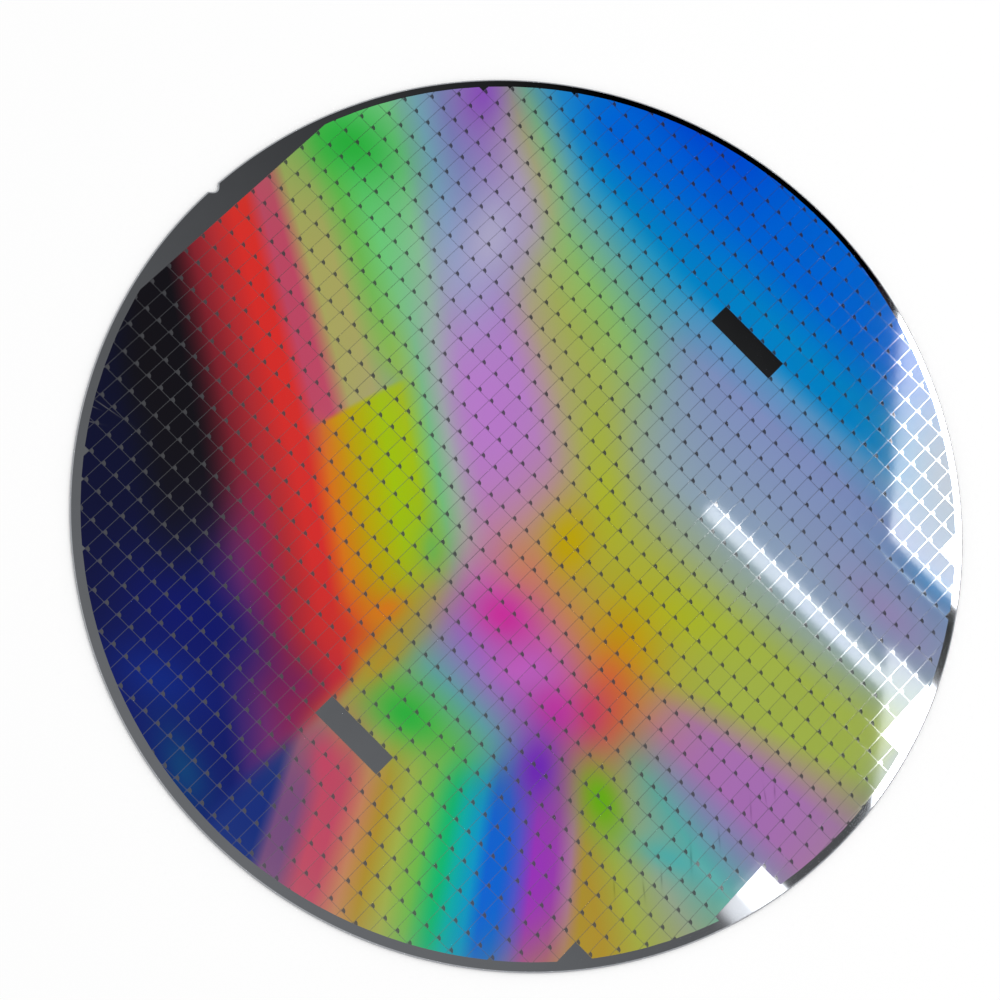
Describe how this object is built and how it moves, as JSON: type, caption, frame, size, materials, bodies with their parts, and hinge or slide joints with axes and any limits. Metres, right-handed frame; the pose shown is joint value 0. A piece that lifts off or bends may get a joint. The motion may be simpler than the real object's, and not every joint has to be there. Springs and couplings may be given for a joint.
{
  "type": "silicon wafer",
  "caption": "Processed silicon wafer: a thin round disc with a V notch, printed all over with a grid of small rectangular dies that show as rainbow bands.",
  "frame": {"origin": "centre of the back face, on the wafer's axis", "axes": "+Z out of the patterned face; the notch points along -Y; the dies' longer side runs along X"},
  "size_m": [0.2, 0.2, 0.0007],
  "materials": {
    "silicon": "polished silicon with iridescent device layers"
  },
  "bodies": {
    "root": {"wafer": "silicon"}
  },
  "joints": []
}
